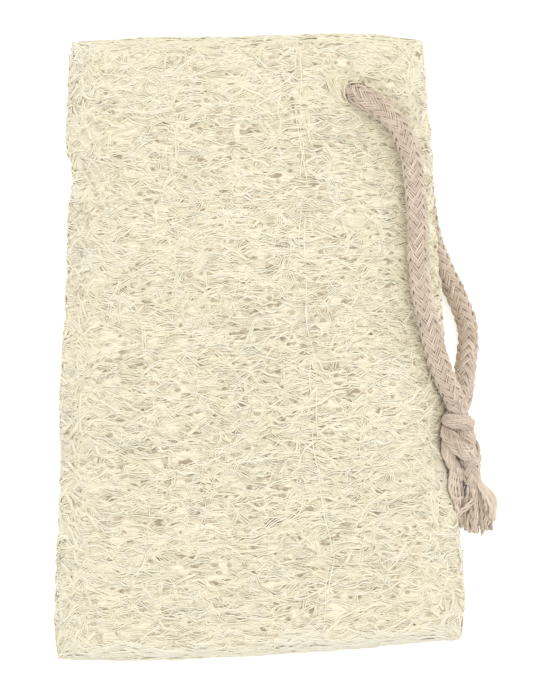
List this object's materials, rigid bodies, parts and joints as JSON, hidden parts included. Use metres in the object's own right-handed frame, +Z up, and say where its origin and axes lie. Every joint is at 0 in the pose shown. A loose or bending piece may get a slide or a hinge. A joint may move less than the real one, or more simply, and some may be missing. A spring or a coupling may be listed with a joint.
{
  "type": "natural loofah sponge",
  "caption": "Flat rectangular natural loofah pad with a raised fibre net, rounded rims and a knotted braided cotton hanging cord with frayed ends.",
  "frame": {"origin": "middle of the pad's footprint, on the surface that it lies on", "axes": "+X across the pad towards the cord's loop, +Y along the pad towards the end with the cord's hole, +Z up out of the front face"},
  "size_m": [0.1069, 0.1518, 0.0248],
  "materials": {
    "loofah_fibre": "dry cream fibre net, matt with a slight straw sheen",
    "cord_cotton": "soft unbleached pinkish-beige braided cotton, matt"
  },
  "bodies": {
    "root": {"loofah_pad": "loofah_fibre", "cord_loop": "cord_cotton", "cord_knot": "cord_cotton", "cord_tassel": "cord_cotton"}
  },
  "joints": []
}
